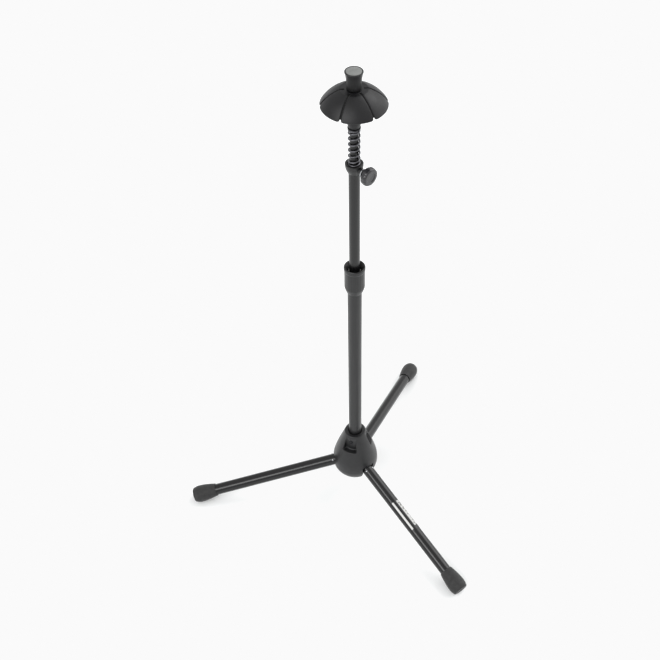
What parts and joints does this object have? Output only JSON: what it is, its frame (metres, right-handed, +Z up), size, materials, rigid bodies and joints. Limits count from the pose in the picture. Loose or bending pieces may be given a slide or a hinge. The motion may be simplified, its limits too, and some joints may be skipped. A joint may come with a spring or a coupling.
{
  "type": "brass instrument floor stand",
  "caption": "Folding tripod floor stand with a telescopic mast and a sprung, slotted bell cup that holds a brass instrument by its bell.",
  "frame": {"origin": "the point on the floor under the mast's axis, with the legs open", "axes": "+Z up the mast to the bell cup, -Y the front; the rear leg points 67.5 degrees from +X"},
  "size_m": [0.4887, 0.5234, 0.8689],
  "materials": {
    "mast_tube": "satin black powder-coated steel tube",
    "leg_tube": "gloss black powder-coated steel tube",
    "moulded_black": "textured black moulded plastic",
    "cup_plastic": "soft-touch black moulded plastic",
    "foot_rubber": "matt black rubber",
    "cap_plastic": "satin grey moulded plastic",
    "bearing_plastic": "natural acetal",
    "plated_steel": "bright zinc-plated steel",
    "black_steel": "black oxide steel",
    "brass": "turned brass",
    "label_film": "laminated label, plain pale bands on black"
  },
  "bodies": {
    "base": {"hub_shell": "moulded_black", "hub_base_plate": "moulded_black", "hub_base_screws": "plated_steel", "hub_mast_screw": "plated_steel", "leg_pin_rear": "plated_steel", "leg_pin_left": "plated_steel", "leg_pin_front": "plated_steel", "mast_outer_tube": "mast_tube", "clutch_holder": "moulded_black"},
    "leg_rear": {"leg_knuckle_rear": "moulded_black", "leg_tube_rear": "leg_tube", "leg_foot_rear": "foot_rubber"},
    "leg_left": {"leg_knuckle_left": "moulded_black", "leg_tube_left": "leg_tube", "leg_foot_left": "foot_rubber"},
    "leg_front": {"leg_knuckle_front": "moulded_black", "leg_tube_front": "leg_tube", "leg_foot_front": "foot_rubber", "leg_label": "label_film"},
    "collet": {"clutch_collet": "bearing_plastic"},
    "clutch": {"clutch_sleeve": "moulded_black"},
    "glide": {"glide_ring": "bearing_plastic"},
    "upper_mast": {"mast_inner_tube": "mast_tube", "inner_tube_plug": "moulded_black", "glide_circlip": "black_steel", "top_collar": "moulded_black", "collar_insert": "brass", "guide_bush": "moulded_black", "spring": "black_steel"},
    "screw_washer": {"screw_washer": "plated_steel"},
    "thumb_screw": {"thumb_stud": "plated_steel", "thumb_knob": "moulded_black"},
    "plunger": {"plunger_rod": "black_steel", "rod_stop_clip": "black_steel", "spring_washer": "black_steel", "bell_cup": "cup_plastic", "bell_peg": "moulded_black", "peg_screw": "plated_steel", "peg_cap": "cap_plastic"}
  },
  "joints": [
    {"name": "leg_rear_fold", "type": "hinge", "parent": "base", "child": "leg_rear", "pos_m": [0.00918, 0.02217, 0.08], "axis": [-0.9239, 0.3827, 0], "range_deg": [0, 75]},
    {"name": "leg_left_fold", "type": "hinge", "parent": "base", "child": "leg_left", "pos_m": [-0.0238, -0.00313, 0.08], "axis": [0.1305, -0.9914, 0], "range_deg": [0, 75]},
    {"name": "leg_front_fold", "type": "hinge", "parent": "base", "child": "leg_front", "pos_m": [0.01461, -0.01904, 0.08], "axis": [0.7934, 0.6088, 0], "range_deg": [0, 75]},
    {"name": "collet_lift", "type": "slide", "parent": "base", "child": "collet", "axis": [0, 0, 1], "range_m": [0, 0.000666]},
    {"name": "clutch_twist", "type": "hinge", "parent": "collet", "child": "clutch", "pos_m": [0, 0, 0.5125], "axis": [0, 0, 1], "range_deg": [0, 120]},
    {"name": "mast_height", "type": "slide", "parent": "base", "child": "glide", "axis": [0, 0, 1], "range_m": [-0.15, 0.15]},
    {"name": "mast_swivel", "type": "hinge", "parent": "glide", "child": "upper_mast", "pos_m": [0, 0, 0.306], "axis": [0, 0, 1], "continuous": true},
    {"name": "screw_travel", "type": "slide", "parent": "upper_mast", "child": "screw_washer", "axis": [0.7193, -0.6947, 0], "range_m": [0, 0.0016]},
    {"name": "screw_turn", "type": "hinge", "parent": "screw_washer", "child": "thumb_screw", "pos_m": [0.01798, -0.01737, 0.7195], "axis": [0.7193, -0.6947, 0], "range_deg": [0, 720]},
    {"name": "plunger_press", "type": "slide", "parent": "upper_mast", "child": "plunger", "axis": [0, 0, 1], "range_m": [-0.03, 0], "stiffness_N_per_m": 900, "springref_m": 0.01, "deforming": ["spring"]}
  ],
  "couplings": [
    {"joint": "clutch_twist", "follows": "collet_lift", "rad_per_m": 3141.6},
    {"joint": "screw_turn", "follows": "screw_travel", "rad_per_m": 7854}
  ]
}
